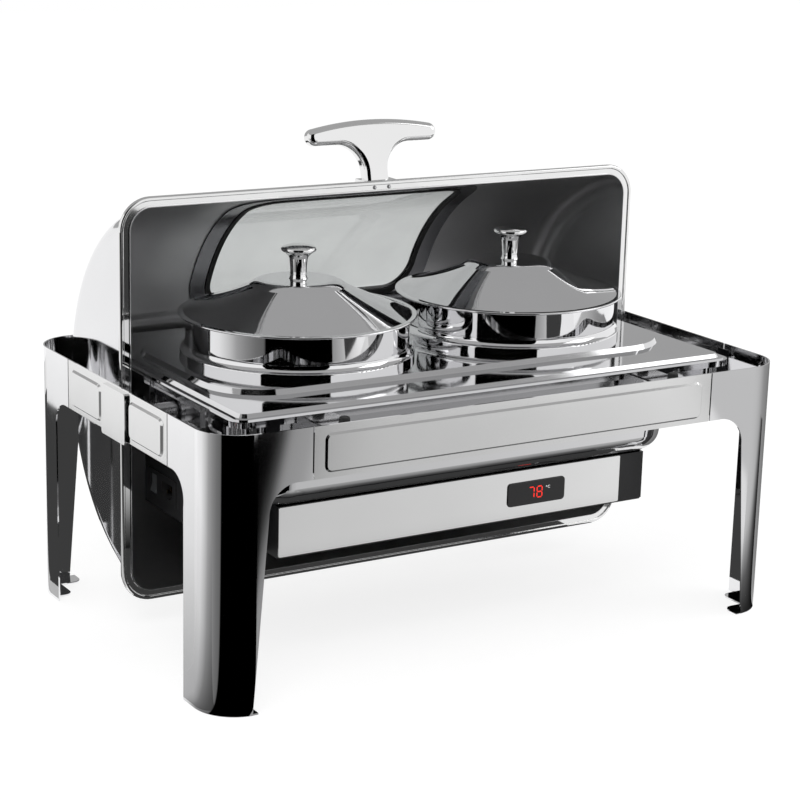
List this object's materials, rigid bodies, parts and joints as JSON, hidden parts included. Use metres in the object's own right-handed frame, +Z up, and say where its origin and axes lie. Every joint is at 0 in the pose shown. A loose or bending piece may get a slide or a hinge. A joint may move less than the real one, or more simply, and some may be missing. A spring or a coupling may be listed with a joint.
{
  "type": "chafing dish food warmer",
  "caption": "Electric roll-top chafing dish: pressed-sheet stand, drum lid with a window rolled back, heated water pan, adapter plate and round lidded soup pots.",
  "frame": {"origin": "on the table, under the middle of the stand's outline", "axes": "+X to the right seen from the serving side, +Y away from the server, +Z up"},
  "size_m": [0.662, 0.432, 0.5012],
  "materials": {
    "black_plastic": "fine grain",
    "black_rubber": "matt",
    "black_sheet": "semi-gloss black enamel",
    "board_green": "solder mask",
    "cast_steel": "polished casting",
    "clear_glass": "clear tempered",
    "cradle_steel": "mirror polished stainless",
    "dark_lens": "gloss",
    "dark_steel": "heat-darkened weld strap",
    "drum_steel": "mirror polished stainless",
    "grey_plastic": "smooth",
    "leg_steel": "mirror polished stainless",
    "lid_steel": "mirror polished stainless",
    "pan_steel": "mirror polished stainless",
    "panel_steel": "fine satin stainless",
    "pin_brass": "bright",
    "plain_steel": "plain stainless",
    "plate_aluminium": "milled",
    "plate_steel": "mirror polished stainless",
    "pot_steel": "mirror polished stainless",
    "rail_steel": "mirror polished stainless",
    "red_digits": "lit",
    "rim_steel": "mirror polished stainless",
    "surround_steel": "satin stainless",
    "white_mark": "printed"
  },
  "bodies": {
    "stand": {"leg_front_left": "leg_steel", "leg_front_right": "leg_steel", "leg_back_left": "leg_steel", "leg_back_right": "leg_steel", "rail_front": "rail_steel", "rail_back": "rail_steel", "rail_left": "rail_steel", "rail_right": "rail_steel", "pivot_covers": "rail_steel", "seam_straps": "dark_steel", "pivot_bearings": "plain_steel", "pivot_pins": "plain_steel", "pivot_washers": "plain_steel", "pivot_sleeves": "plain_steel", "pivot_nuts": "plain_steel", "pan_cradle": "cradle_steel", "cradle_brackets": "plain_steel", "lid_stops": "plain_steel", "stop_bumpers": "black_rubber", "water_pan": "pan_steel", "adapter_plate": "plate_steel", "pot_collar_left": "pot_steel", "pot_collar_right": "pot_steel", "heater_housing": "black_sheet", "pan_studs": "plain_steel", "stud_nuts": "plain_steel", "heater_base_cover": "black_sheet", "heater_front_panel": "panel_steel", "display_lens": "dark_lens", "display_digits": "red_digits", "display_unit": "white_mark", "control_board": "board_green", "display_module": "black_plastic", "heating_plate": "plate_aluminium", "plate_posts": "plain_steel", "heating_element": "plain_steel", "element_clips": "plain_steel", "inlet_housing": "black_plastic", "power_inlet": "black_plastic", "inlet_pins": "pin_brass", "switch_axle": "plain_steel"},
    "roll_top": {"roll_top_shell": "drum_steel", "lid_rim": "rim_steel", "lid_arm_left": "plain_steel", "lid_arm_right": "plain_steel", "arm_rivets": "plain_steel", "window_glass": "clear_glass", "window_seal": "black_rubber", "window_surround": "surround_steel", "lid_handle": "cast_steel", "handle_screws": "plain_steel"},
    "pot_left": {"soup_pot_left": "pot_steel"},
    "pot_right": {"soup_pot_right": "pot_steel"},
    "inner_lid_left": {"pot_lid_left": "lid_steel", "lid_knob_left": "cast_steel", "knob_screw_left": "plain_steel"},
    "inner_lid_right": {"pot_lid_right": "lid_steel", "lid_knob_right": "cast_steel", "knob_screw_right": "plain_steel"},
    "power_switch": {"switch_rocker": "grey_plastic"}
  },
  "joints": [
    {"name": "roll_top_hinge", "type": "hinge", "parent": "stand", "child": "roll_top", "pos_m": [0, 0, 0.236], "axis": [-1, 0, 0], "range_deg": [-90, 0]},
    {"name": "pot_left_lift", "type": "slide", "parent": "stand", "child": "pot_left", "axis": [0, 0, 1], "range_m": [0, 0.05]},
    {"name": "pot_right_lift", "type": "slide", "parent": "stand", "child": "pot_right", "axis": [0, 0, 1], "range_m": [0, 0.05]},
    {"name": "inner_lid_left_lift", "type": "slide", "parent": "pot_left", "child": "inner_lid_left", "axis": [0, -0.8, 0.6], "range_m": [0, 0.15]},
    {"name": "inner_lid_right_lift", "type": "slide", "parent": "pot_right", "child": "inner_lid_right", "axis": [0, -0.8, 0.6], "range_m": [0, 0.15]},
    {"name": "switch_rock", "type": "hinge", "parent": "stand", "child": "power_switch", "pos_m": [-0.2475, 0.075, 0.139], "axis": [0, 1, 0], "range_deg": [-14, 0]}
  ]
}
